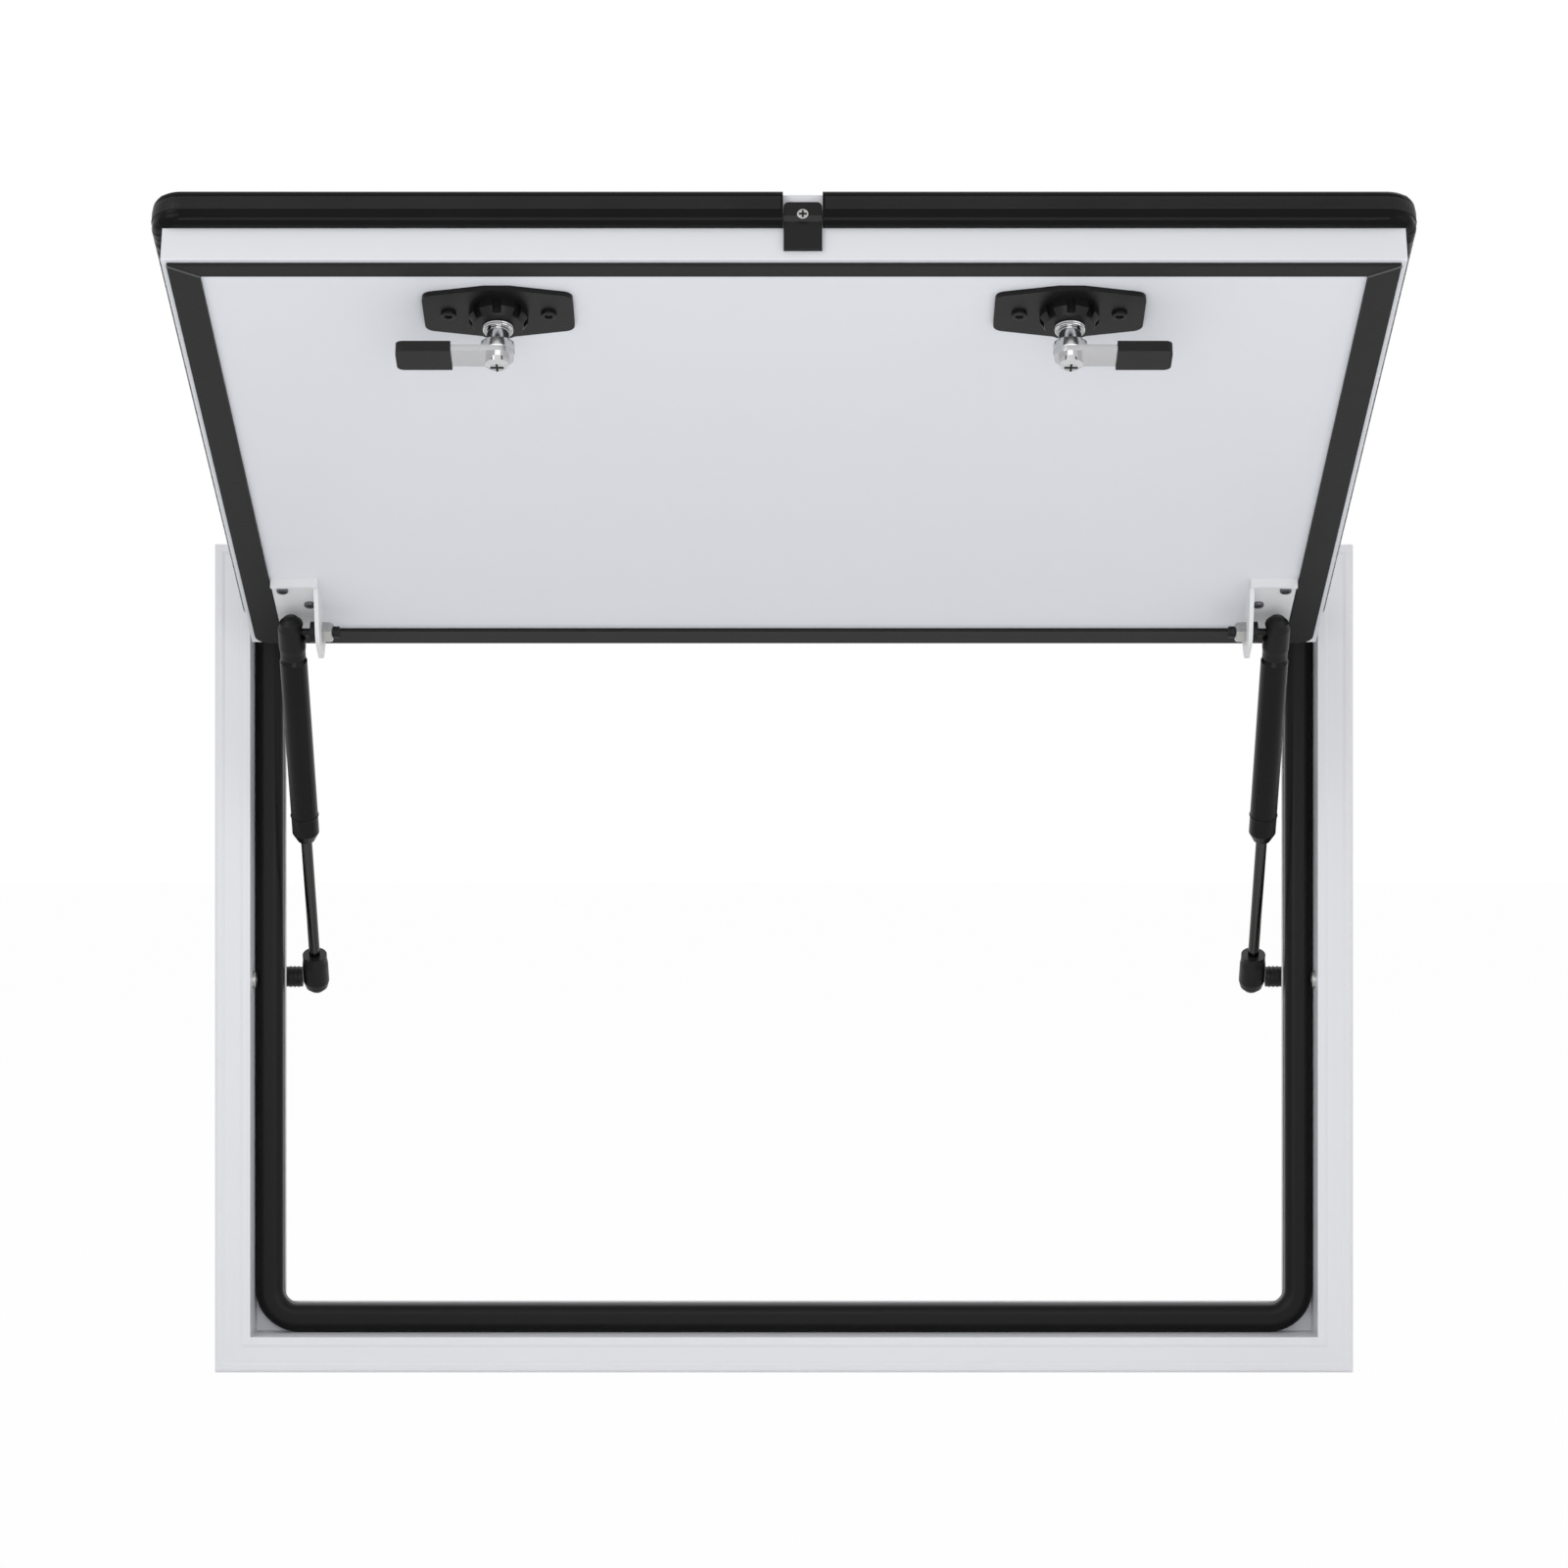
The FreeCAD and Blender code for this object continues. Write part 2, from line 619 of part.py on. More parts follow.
def upper_stud(label, side):
    """The ball stud that the bracket's tongue holds, with its hex shoulder."""
    body = new_body(label)
    ball_turn = "sqrt(ball_radius * ball_radius - stud_neck * stud_neck / 2.25)"
    shoulder = "(bracket_flange)"
    base = revolve(body, label + "Profile", [
        ("0", f"0 - {shoulder} - 5 * bracket_sheet"),
        ("stud_neck", f"0 - {shoulder} - 5 * bracket_sheet"),
        ("stud_neck", f"0 - {shoulder}"),
        ("stud_hex", f"0 - {shoulder}"),
        ("stud_hex", f"0 - {shoulder} + stud_hex_length"),
        ("stud_neck / 1.5", f"0 - {shoulder} + stud_hex_length"),
        ("stud_neck / 1.5", f"0 - {ball_turn}"),
        ("ball_radius", "0 - ball_radius / 3"),
        ("ball_radius", "ball_radius / 3"),
        ("ball_radius / 2", "ball_radius"),
        ("0", "ball_radius"),
    ])
    base.Label = label + " turned profile"
    place = FreeCAD.Vector(side * strut_x, slab_back + size("upper_ball_out"),
                           slab_top - size("upper_ball_along"))
    on_door(body, place, ALONG_X if side > 0 else AGAINST_X)


def lower_stud(label, side):
    """The stud from the frame's angle that reaches to the strut's lower fitting."""
    body = new_body(label)
    face = f"({STUD_FACE} - {STRUT_X})"
    revolve(body, label + "Profile", [
        ("0", f"{face} + bracket_sheet + stud_hex_length"),
        ("stud_neck", f"{face} + bracket_sheet + stud_hex_length"),
        ("stud_neck", face),
        ("stud_hex", face),
        ("stud_hex", "fitting_radius + fit_gap"),
        ("0", "fitting_radius + fit_gap"),
    ])
    place = FreeCAD.Vector(side * strut_x, size("lower_ball_depth"), size("lower_ball_height"))
    on_frame(body, place, ALONG_X if side > 0 else AGAINST_X)


def strut_line(side):
    """The upper ball's place, the strut's turn from Z and its length, with the door open."""
    shut = FreeCAD.Vector(side * strut_x, slab_back + size("upper_ball_out"),
                          slab_top - size("upper_ball_along"))
    upper = OPENED.multVec(shut)
    lower = FreeCAD.Vector(side * strut_x, size("lower_ball_depth"), size("lower_ball_height"))
    reach = lower.sub(upper)
    angle = math.degrees(math.atan2(-reach.y, reach.z))
    return upper, lower, FreeCAD.Rotation(X_AXIS, angle)


def socket_profile(sign):
    """Half the outline of a ball socket: a domed head, a straight side and a tapered neck."""
    return [
        ("0", f"{sign}(0 - fitting_crown)"),
        ("fitting_radius * 0.5", f"{sign}(0 - fitting_crown * 0.92)"),
        ("fitting_radius * 0.85", f"{sign}(0 - fitting_crown * 0.65)"),
        ("fitting_radius", f"{sign}(0 - fitting_crown * 0.25)"),
        ("fitting_radius", f"{sign}(fitting_length * 0.6)"),
        ("fitting_neck", f"{sign}(fitting_length * 0.8)"),
        ("fitting_neck", f"{sign}(fitting_length)"),
        ("0", f"{sign}(fitting_length)"),
    ]


def upper_fitting(label, side):
    """The socket on the tube's end, bored from the inner side for the ball stud."""
    body = new_body(label)
    revolve(body, label + "Profile", socket_profile(""))
    mouth = "fitting_radius + fit_gap"
    cup = sketch_on(body, label + "Cup", "YZ_Plane", f"0 - ({mouth})" if side > 0 else mouth)
    circle(cup, ("0", "0"), "ball_radius + ball_fit")
    pocket(body, cup, f"{mouth} + ball_radius + ball_fit", back=side > 0)
    upper, lower, turn = strut_line(side)
    body.Placement = FreeCAD.Placement(upper, turn)


def lower_fitting(label, side):
    """The socket on the rod's end, with its ball closed in."""
    body = new_body(label)
    revolve(body, label + "Profile", socket_profile("0 - "))
    upper, lower, turn = strut_line(side)
    body.Placement = FreeCAD.Placement(lower, turn)


def strut_tube(label, side):
    """The black cylinder: closed at the fitting, with a necked mouth for the rod."""
    body = new_body(label)
    end = "(fitting_length + tube_length)"
    bore = "(rod_radius + rod_fit)"
    revolve(body, label + "Profile", [
        ("0", "fitting_length"),
        ("tube_radius - tube_mouth / 4", "fitting_length"),
        ("tube_radius", "fitting_length + tube_mouth / 2"),
        ("tube_radius", f"{end} - tube_mouth"),
        ("tube_radius - tube_mouth / 2", end),
        (bore, end),
        (bore, "fitting_length + tube_mouth"),
        ("0", "fitting_length + tube_mouth"),
    ])
    upper, lower, turn = strut_line(side)
    body.Placement = FreeCAD.Placement(upper, turn)


def strut_rod(label, side):
    """The piston rod, from the lower fitting up into the tube."""
    body = new_body(label)
    revolve(body, label + "Profile", [
        ("0", "0 - fitting_length"),
        ("rod_radius", "0 - fitting_length"),
        ("rod_radius", "0 - fitting_length - rod_length"),
        ("0", "0 - fitting_length - rod_length"),
    ])
    upper, lower, turn = strut_line(side)
    body.Placement = FreeCAD.Placement(lower, turn)


def latch_place(side):
    """A latch's centre on the slab's inner face, with the door shut."""
    return FreeCAD.Vector(side * latch_x, slab_back, latch_z)


def latch_barrel(label, side):
    """The lock's threaded body with its round rose on the door's outer face."""
    body = new_body(label)
    outer = "(0 - slab_thickness)"
    revolve(body, label + "Profile", [
        ("key_radius + fit_gap", f"{outer} - rose_thickness"),
        ("rose_radius - rose_thickness / 2", f"{outer} - rose_thickness"),
        ("rose_radius", f"{outer} - rose_thickness / 2"),
        ("rose_radius", outer),
        ("barrel_radius", outer),
        ("barrel_radius", "barrel_reach"),
        ("barrel_bore", "barrel_reach"),
        ("barrel_bore", f"{outer} - rose_thickness / 2"),
        ("key_radius + fit_gap", f"{outer} - rose_thickness / 2"),
    ])
    on_door(body, latch_place(side), ALONG_Y)


def latch_spindle(label, side):
    """The turning spindle: key head, shaft, cam hub and end nut."""
    body = new_body(label)
    outer = "(0 - slab_thickness)"
    hub = "(barrel_reach + fit_gap)"
    seat = "(cam_offset - cam_thickness / 2)"
    tail = "(cam_offset + cam_thickness / 2)"
    revolve(body, label + "Profile", [
        ("0", f"{outer} - rose_thickness"),
        ("key_radius", f"{outer} - rose_thickness"),
        ("key_radius", f"{outer} - rose_thickness / 2 - fit_gap"),
        ("spindle_radius", f"{outer} - rose_thickness / 2 - fit_gap"),
        ("spindle_radius", hub),
        ("spindle_neck", hub),
        ("spindle_neck", f"{seat} - hub_flange"),
        ("cam_hub", f"{seat} - hub_flange"),
        ("cam_hub", seat),
        ("spindle_radius", seat),
        ("spindle_radius", tail),
        ("cam_nut", tail),
        ("cam_nut", f"{tail} + cam_nut_height * 0.7"),
        ("cam_nut * 0.6", f"{tail} + cam_nut_height"),
        ("0", f"{tail} + cam_nut_height"),
    ])
    on_door(body, latch_place(side), ALONG_Y)


def latch_plate(label, side):
    """The black lozenge plate on the slab's inner face."""
    body = new_body(label)
    sketch = sketch_on(body, label + "Outline", "XY_Plane")
    shoulder = "(plate_width / 12)"
    polygon(sketch, [
        ("plate_width / 2", "0 - plate_end / 2"),
        ("plate_width / 2", "plate_end / 2"),
        (shoulder, "plate_middle / 2"),
        (f"0 - {shoulder}", "plate_middle / 2"),
        ("0 - plate_width / 2", "plate_end / 2"),
        ("0 - plate_width / 2", "0 - plate_end / 2"),
        (f"0 - {shoulder}", "0 - plate_middle / 2"),
        (shoulder, "0 - plate_middle / 2"),
    ])
    circle(sketch, ("0", "0"), "barrel_radius + fit_gap")
    for sign in ("", "0 - "):
        circle(sketch, (f"{sign}plate_screws / 2", "0"), "plate_hole")
    pad(body, sketch, "plate_thickness")
    round_edges(body, label + "Rounds", "plate_round",
                lambda edge: abs(edge.Length - size("plate_thickness")) < 1e-4
                and abs(edge.BoundBox.Center.y) > size("plate_end") / 2 - 1e-3)
    on_door(body, latch_place(side), ALONG_Y)


def latch_collar(label, side):
    """The notched black collar nut that clamps the plate on the barrel."""
    body = new_body(label)
    revolve(body, label + "Profile", [
        ("barrel_radius + fit_gap", "plate_thickness"),
        ("collar_radius", "plate_thickness"),
        ("collar_radius", "plate_thickness + collar_height / 2"),
        ("collar_radius - collar_height / 3", "plate_thickness + collar_height"),
        ("barrel_radius + fit_gap", "plate_thickness + collar_height"),
    ])
    notch = sketch_on(body, label + "Notch", "XY_Plane", "plate_thickness")
    polygon(notch, [
        ("collar_radius - collar_notch / 2", "0 - collar_notch / 2"),
        ("collar_radius + 2", "0 - collar_notch / 2"),
        ("collar_radius + 2", "collar_notch / 2"),
        ("collar_radius - collar_notch / 2", "collar_notch / 2"),
    ])
    cut = pocket(body, notch, "collar_height + 1", back=True)
    pattern = body.newObject("PartDesign::PolarPattern", label + "Notches")
    pattern.Originals = [cut]
    axis = next(item for item in body.Origin.OriginFeatures if item.Role == "Z_Axis")
    pattern.Axis = (axis, [""])
    pattern.Angle = 360
    pattern.Occurrences = 8
    body.Tip = pattern
    on_door(body, latch_place(side), ALONG_Y)


def cam_arm(label, side):
    """The flat cam arm, round at both ends, with a hole for the spindle."""
    body = new_body(label)
    sketch = sketch_on(body, label + "Outline", "XY_Plane", "cam_offset - cam_thickness / 2")
    sign = "" if side > 0 else "0 - "
    half = "(cam_width / 2)"
    polygon(sketch, [
        (f"{sign}(cam_length)", f"0 - {half}"),
        (f"{sign}(cam_length)", half),
        (f"0 - ({sign}({half}))", half),
        (f"0 - ({sign}({half}))", f"0 - {half}"),
    ])
    circle(sketch, ("0", "0"), "spindle_radius + fit_gap / 3")
    pad(body, sketch, "cam_thickness")
    def end_at(reach):
        return lambda edge: (lies_at(edge, "x", side * reach)
                             and abs(edge.Length - size("cam_thickness")) < 1e-4)
    round_edges(body, label + "Tip", "cam_round", end_at(size("cam_length")))
    round_edges(body, label + "Hub", "cam_width * 0.45", end_at(-size("cam_width") / 2))
    on_door(body, latch_place(side), ALONG_Y)


def cam_sleeve(label, side):
    """The black sleeve over the arm's outer part."""
    body = new_body(label)
    sign = "" if side > 0 else "0 - "
    start = "(cam_length - sleeve_length)"
    end = "(cam_length + sleeve_wall)"
    half = "(cam_width / 2 + sleeve_wall)"
    sketch = sketch_on(body, label + "Outline", "XY_Plane", "cam_offset")
    polygon(sketch, [
        (f"{sign}{start}", f"0 - {half}"),
        (f"{sign}{end}", f"0 - {half}"),
        (f"{sign}{end}", half),
        (f"{sign}{start}", half),
    ])
    pad(body, sketch, "cam_thickness + 2 * sleeve_wall", both=True)
    tip = side * (size("cam_length") + size("sleeve_wall"))
    tall = size("cam_thickness") + 2 * size("sleeve_wall")
    round_edges(body, label + "Tip", "cam_round + sleeve_wall",
                lambda edge: lies_at(edge, "x", tip) and abs(edge.Length - tall) < 1e-3)
    slot = sketch_on(body, label + "Slot", "XY_Plane", "cam_offset")
    inner = "(cam_width / 2 + fit_gap / 3)"
    tip_gap = "(cam_length + fit_gap / 3)"
    polygon(slot, [
        (f"{sign}({start} - 1)", f"0 - {inner}"),
        (f"{sign}{tip_gap}", f"0 - {inner}"),
        (f"{sign}{tip_gap}", inner),
        (f"{sign}({start} - 1)", inner),
    ])
    pocket(body, slot, "cam_thickness + fit_gap / 2", both=True)
    on_door(body, latch_place(side), ALONG_Y)


# The fixed frame
frame_rail("frame_right_rail", HALF_WIDTH, HALF_HEIGHT, NO_TURN)
frame_rail("frame_left_rail", HALF_WIDTH, HALF_HEIGHT, FreeCAD.Rotation(Y_AXIS, 180))
frame_rail("frame_bottom_rail", HALF_HEIGHT, HALF_WIDTH, FreeCAD.Rotation(Y_AXIS, 90))
frame_rail("frame_top_rail", HALF_HEIGHT, HALF_WIDTH, FreeCAD.Rotation(Y_AXIS, -90))
frame_seal()
hinge_leaf("hinge_frame_leaf", opened=False)
hinge_pin()

# The door's slab
SLAB_HALF = f"(({SLAB_TOP} - {SLAB_BOTTOM}) / 2)"
edge_channel("door_right_edge", SLAB_X, SLAB_HALF, NO_TURN)
edge_channel("door_left_edge", SLAB_X, SLAB_HALF, FreeCAD.Rotation(Y_AXIS, 180))
edge_channel("door_bottom_edge", SLAB_HALF, SLAB_X, FreeCAD.Rotation(Y_AXIS, 90))
edge_channel("door_top_edge", SLAB_HALF, SLAB_X, FreeCAD.Rotation(Y_AXIS, -90))
slab_sheet("door_core", f"({SLAB_FRONT} + channel_wall)", "slab_thickness - 2 * channel_wall",
           "channel_wall", "barrel_radius + fit_gap")
slab_sheet("door_outer_skin", SLAB_FRONT, "channel_wall", "outer_leg", "barrel_radius + fit_gap")
slab_sheet("door_inner_skin", f"({SLAB_BACK} - channel_wall)", "channel_wall", "inner_leg",
           "barrel_radius + fit_gap")
door_gasket()
edge_trim("left_edge_trim", -1, "(trim_joint_offset - trim_joint_gap / 2)")
edge_trim("right_edge_trim", 1, "(trim_joint_offset + trim_joint_gap / 2)")
trim_clip()
hinge_leaf("hinge_door_leaf", opened=True)

# What comes in pairs: struts with their brackets, and latches
for name, side in (("left", -1), ("right", 1)):
    strut_bracket(f"{name}_strut_bracket", side)
    upper_stud(f"{name}_upper_stud", side)
    stud_bracket(f"{name}_stud_bracket", side)
    lower_stud(f"{name}_lower_stud", side)
    upper_fitting(f"{name}_upper_fitting", side)
    strut_tube(f"{name}_strut_tube", side)
    strut_rod(f"{name}_strut_rod", side)
    lower_fitting(f"{name}_lower_fitting", side)
    latch_barrel(f"{name}_latch_barrel", side)
    latch_plate(f"{name}_latch_plate", side)
    latch_collar(f"{name}_latch_collar", side)
    latch_spindle(f"{name}_latch_spindle", side)
    cam_arm(f"{name}_cam_arm", side)
    cam_sleeve(f"{name}_cam_sleeve", side)

doc.recompute()
for item in doc.Objects:
    if "Invalid" in item.State or "Error" in item.State:
        raise RuntimeError(f"{item.Label} failed: {item.State}")
for body in PARTS:
    if body.Shape.isNull() or not body.Shape.isValid():
        raise RuntimeError(f"{body.Label} has no valid shape")
os.makedirs("parts", exist_ok=True)
for body in PARTS:
    body.Shape.exportStep(os.path.join("parts", body.Label + ".step"))
    print(body.Label, len(body.Shape.Solids), round(body.Shape.Volume, 1))
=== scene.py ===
# %% [markdown]
# # A storage compartment door for a camper
# The solid model comes from the CAD frame and is never moved. This lesson gives each piece its finish,
# adds the small fasteners and rubber ribs that the solids leave out, and sets up a plain studio.

# %% Load the frame
import json
import math

import bmesh
import bpy
from mathutils import Matrix, Vector


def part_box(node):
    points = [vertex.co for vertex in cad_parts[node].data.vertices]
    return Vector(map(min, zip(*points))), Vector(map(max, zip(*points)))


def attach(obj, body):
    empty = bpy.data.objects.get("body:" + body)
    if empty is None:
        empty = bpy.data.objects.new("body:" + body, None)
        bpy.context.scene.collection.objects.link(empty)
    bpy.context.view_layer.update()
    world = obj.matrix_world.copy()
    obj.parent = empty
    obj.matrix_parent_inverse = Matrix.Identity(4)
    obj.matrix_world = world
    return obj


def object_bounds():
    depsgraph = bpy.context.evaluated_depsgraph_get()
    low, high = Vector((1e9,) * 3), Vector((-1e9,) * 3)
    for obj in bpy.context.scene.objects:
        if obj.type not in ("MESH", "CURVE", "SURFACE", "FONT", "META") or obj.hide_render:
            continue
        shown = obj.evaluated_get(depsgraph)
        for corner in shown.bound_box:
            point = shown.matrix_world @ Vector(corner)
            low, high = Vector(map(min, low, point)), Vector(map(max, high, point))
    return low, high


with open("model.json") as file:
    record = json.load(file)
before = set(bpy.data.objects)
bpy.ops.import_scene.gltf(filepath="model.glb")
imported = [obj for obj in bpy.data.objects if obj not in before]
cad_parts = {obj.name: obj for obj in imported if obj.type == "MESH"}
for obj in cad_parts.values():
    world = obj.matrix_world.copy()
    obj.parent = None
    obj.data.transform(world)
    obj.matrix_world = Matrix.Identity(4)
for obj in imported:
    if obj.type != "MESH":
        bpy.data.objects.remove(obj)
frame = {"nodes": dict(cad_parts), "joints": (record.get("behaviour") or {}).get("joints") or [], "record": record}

nodes = frame["nodes"]
joints = {joint["name"]: joint for joint in frame["joints"]}
sides = {"left": -1, "right": 1}
cad_low, cad_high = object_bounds()

# %% [markdown]
# ## The open door's own frame
# The door is stored open, so its faces lie at a slant. Turning its vertices back about the hinge gives
# boxes that are square to the slab, and a point that is chosen on the shut door can be carried to the
# open one with the same matrix.

# %% Turn between the shut and the open door
hinge = joints["door_hinge"]
pin = Vector(hinge["pos_m"])
open_angle = math.radians(hinge["range_deg"][1])
to_open = Matrix.Translation(pin) @ Matrix.Rotation(-open_angle, 4, "X") @ Matrix.Translation(-pin)
to_shut = to_open.inverted()
inward = (to_open.to_3x3() @ Vector((0, 1, 0))).normalized()
down_slab = (to_open.to_3x3() @ Vector((0, 0, -1))).normalized()


def vertices(node):
    """The places of a node's vertices, as they are stored."""
    return [vertex.co.copy() for vertex in nodes[node].data.vertices]


def shut_box(node):
    """A door node's lowest and highest corner with the door shut."""
    points = [to_shut @ point for point in vertices(node)]
    low = Vector(min(point[i] for point in points) for i in range(3))
    high = Vector(max(point[i] for point in points) for i in range(3))
    return low, high


def ends(box, sign):
    """The x of a box nearest to the middle and farthest from it, on the left (-1) or right (1)."""
    low, high = box
    return (low.x, high.x) if sign > 0 else (high.x, low.x)


def on_door(x, y, z):
    """A point given on the shut door, carried to the open one."""
    return to_open @ Vector((x, y, z))


inner_level = max(point.dot(inward) for point in vertices("door_left_edge"))
print("inner face looks along", inward, "at", round(inner_level, 4))

# %% [markdown]
# ## Shader maths as plain expressions
# A finish that varies over a surface is a sum of patterns. Wiring each Math node by hand hides the idea,
# so a small class wraps a socket: an expression such as `1 - mask * 0.4` then adds its own nodes.

# %% A socket that can be calculated with
class Wire:
    """One output socket of a node tree, with arithmetic."""

    def __init__(self, owner, socket):
        self.owner = owner
        self.socket = socket

    def math(self, operation, first, second):
        return self.owner.node("ShaderNodeMath", {"operation": operation}, {0: first, 1: second})

    def __add__(self, other):
        return self.math("ADD", self, other)

    def __sub__(self, other):
        return self.math("SUBTRACT", self, other)

    def __rsub__(self, other):
        return self.math("SUBTRACT", other, self)

    def __mul__(self, other):
        return self.math("MULTIPLY", self, other)

    def __abs__(self):
        return self.math("ABSOLUTE", self, 0.0)

    __radd__ = __add__
    __rmul__ = __mul__


class Tree:
    """A node tree under construction, of a finish or of the world."""

    def __init__(self, tree):
        self.tree = tree

    def node(self, kind, settings, inputs, output=0):
        """Any node: its settings first, then its sockets' values or links."""
        made = self.tree.nodes.new(kind)
        for key, value in settings.items():
            setattr(made, key, value)
        for key, value in inputs.items():
            self.feed(made.inputs[key], value)
        return Wire(self, made.outputs[output])

    def feed(self, socket, value):
        """Links a wire to a socket, or sets a plain value on it."""
        if isinstance(value, Wire):
            self.tree.links.new(value.socket, socket)
        else:
            socket.default_value = value

    def backdrop_rays(self):
        """1 for the rays that see the background: from the camera, off metal or through glass."""
        kinds = ("Is Camera Ray", "Is Glossy Ray", "Is Transmission Ray")
        seen, mirrored, through = (self.node("ShaderNodeLightPath", {}, {}, kind) for kind in kinds)
        return seen + mirrored + through


class Finish(Tree):
    """A material under construction."""

    def __init__(self, name):
        self.material = bpy.data.materials.new(name)
        self.material.use_nodes = True
        super().__init__(self.material.node_tree)
        self.shader = self.tree.nodes["Principled BSDF"]
        self.place = self.node("ShaderNodeTexCoord", {}, {}, "Object")

    def noise(self, scale, detail=3.0, place=None):
        """Noise over the piece, or over places that are given."""
        return self.node("ShaderNodeTexNoise", {},
                         {"Vector": place or self.place, "Scale": scale, "Detail": detail})

    def streaks(self, stretch, detail):
        """Noise with a scale of its own on each axis."""
        drawn = self.node("ShaderNodeMapping", {}, {"Vector": self.place, "Scale": stretch})
        return self.noise(1.0, detail, drawn)

    def slope(self, value, start, end):
        """0 up to a start, 1 past an end, and even between them."""
        return self.node("ShaderNodeMapRange", {},
                         {"Value": value, "From Min": start, "From Max": end}, "Result")

    def about(self, middle, pattern, spread):
        """A value that strays from its middle by half a spread, as a pattern from 0 to 1 says."""
        return middle + (pattern - 0.5) * spread

    def tint(self, mask, dark, light):
        """A colour between two colours or wires, by a mask from 0 to 1."""
        first, second = (c if isinstance(c, Wire) else (*c, 1) for c in (dark, light))
        return self.node("ShaderNodeMix", {"data_type": "RGBA"}, {0: mask, 6: first, 7: second}, 2)

    def bump(self, height, strength, distance):
        """Feeds a height to the shader's normal."""
        normal = self.node("ShaderNodeBump", {},
                           {"Strength": strength, "Distance": distance, "Height": height})
        self.feed(self.shader.inputs["Normal"], normal)

    def set(self, **values):
        """Values of the shader's own sockets, with underscores for spaces."""
        for key, value in values.items():
            self.feed(self.shader.inputs[key.replace("_", " ")], value)


def listed(*materials):
    """The names of finishes, for printing."""
    return ", ".join(material.name for material in materials)


print("shader classes ready")

# %% [markdown]
# ## White paint
# The frame and the door's edge are powder coated: nearly even in colour, with a soft gloss and a very
# fine orange-peel skin. Two scales of noise are enough, one for faint soiling and one for the skin.
# On the door's inner face the edge channels take the panel's colour. That face is found by the distance
# along its normal, a dot product with the Object coordinates.

# %% Painted finishes
cloud_scale = 9.0
skin_scale = 900.0
skin_strength = 0.04
skin_height = 0.0004
paint_spread = 0.1
inner_start = 0.0006  # below the inner face its colour starts here
inner_full = 0.0003  # and is full from here


def painted(name, colour, roughness, soil=0.03, inner=None):
    """Powder coat with faint soiling and a fine skin, and its own colour on the door's inner face."""
    finish = Finish(name)
    cloud = finish.noise(cloud_scale)
    skin = finish.noise(skin_scale, 1.0)
    coat = finish.tint(cloud, tuple(channel * (1 - soil) for channel in colour), colour)
    if inner:
        depth = finish.node("ShaderNodeVectorMath", {"operation": "DOT_PRODUCT"},
                            {0: finish.place, 1: inward}, "Value")
        facing = finish.slope(depth, inner_level - inner_start, inner_level - inner_full)
        coat = finish.tint(facing, coat, inner)
    finish.set(Base_Color=coat, Roughness=finish.about(roughness, cloud, paint_spread))
    finish.bump(skin, skin_strength, skin_height)
    return finish.material


clean = 0.012
panel_white = (0.79, 0.81, 0.855)
frame_paint = painted("frame_paint", (0.75, 0.755, 0.785), 0.32)
edge_paint = painted("edge_paint", (0.70, 0.71, 0.74), 0.34, inner=panel_white)
outer_paint = painted("outer_paint", (0.73, 0.735, 0.75), 0.34, clean)
panel_paint = painted("panel_paint", panel_white, 0.45, clean)
bracket_paint = painted("bracket_paint", (0.80, 0.81, 0.82), 0.38)
print("paints:", listed(frame_paint, edge_paint, outer_paint, panel_paint, bracket_paint))

# %% [markdown]
# ## Rubber and plastic
# Rubber shows as black with a broad sheen. The trim is the glossiest, the flat gasket the dullest.
# Noise at two sizes breaks the sheen up, as dust and moulding marks do. Where the trim bends round the
# free corners it creases: a stretched noise is added there to the height that feeds the bump.

# %% Black finishes
dust_scale = 30.0
dust_detail = 4.0
dust_shades = (0.7, 1.4)  # of the shade that is given, from clean to dusty
black_spread = 0.12
coat_roughness = 0.12
grain_detail = 2.0
grain_height = 0.0006
fold_start = 0.262  # from the door's middle, where the trim's corner begins
fold_end = 0.284
fold_stretch = (45.0, 160.0, 160.0)


def black(name, shade, roughness, grain, strength, coat=0.0, mirror=0.18, folds=0.0):
    """A black moulded finish with a grain of the given scale, and folds where it bends at a corner."""
    finish = Finish(name)
    dust = finish.noise(dust_scale, dust_detail)
    height = finish.noise(grain, grain_detail)
    if folds:
        across = finish.node("ShaderNodeSeparateXYZ", {}, {"Vector": finish.place}, "X")
        corner = finish.slope(abs(across), fold_start, fold_end)
        height = height + finish.streaks(fold_stretch, 1.0) * corner * folds
    dark, light = ((shade * share,) * 3 for share in dust_shades)
    finish.set(Base_Color=finish.tint(dust, dark, light),
               Roughness=finish.about(roughness, dust, black_spread),
               Coat_Weight=coat, Coat_Roughness=coat_roughness, Specular_IOR_Level=mirror)
    finish.bump(height, strength, grain_height)
    return finish.material


trim_rubber = black("trim_rubber", 0.004, 0.24, 120.0, 0.10, coat=0.03, mirror=0.07, folds=40.0)
# painted sheen: a paler rubber for the trim's ribs, standing in for light reflected along the trim's face
painted_sheen_rubber = black("painted_sheen_rubber", 0.0125, 0.40, 300.0, 0.10, mirror=0.13)
# painted highlight: a paler rubber for the fine ridge along each gasket mitre
mitre_painted_highlight = black("mitre_painted_highlight", 0.10, 0.50, 300.0, 0.10)
seal_rubber = black("seal_rubber", 0.006, 0.36, 300.0, 0.10, mirror=0.13)
gasket_rubber = black("gasket_rubber", 0.014, 0.55, 500.0, 0.15)
moulded_black = black("moulded_black", 0.008, 0.36, 700.0, 0.12)
sleeve_black = black("sleeve_black", 0.012, 0.45, 800.0, 0.15)
tube_paint = black("tube_paint", 0.005, 0.24, 900.0, 0.03, coat=0.05, mirror=0.11)
stud_paint = black("stud_paint", 0.011, 0.40, 600.0, 0.10)
print("rubbers:", listed(trim_rubber, painted_sheen_rubber, mitre_painted_highlight, seal_rubber, gasket_rubber))
print("other blacks:", listed(moulded_black, sleeve_black, tube_paint, stud_paint))

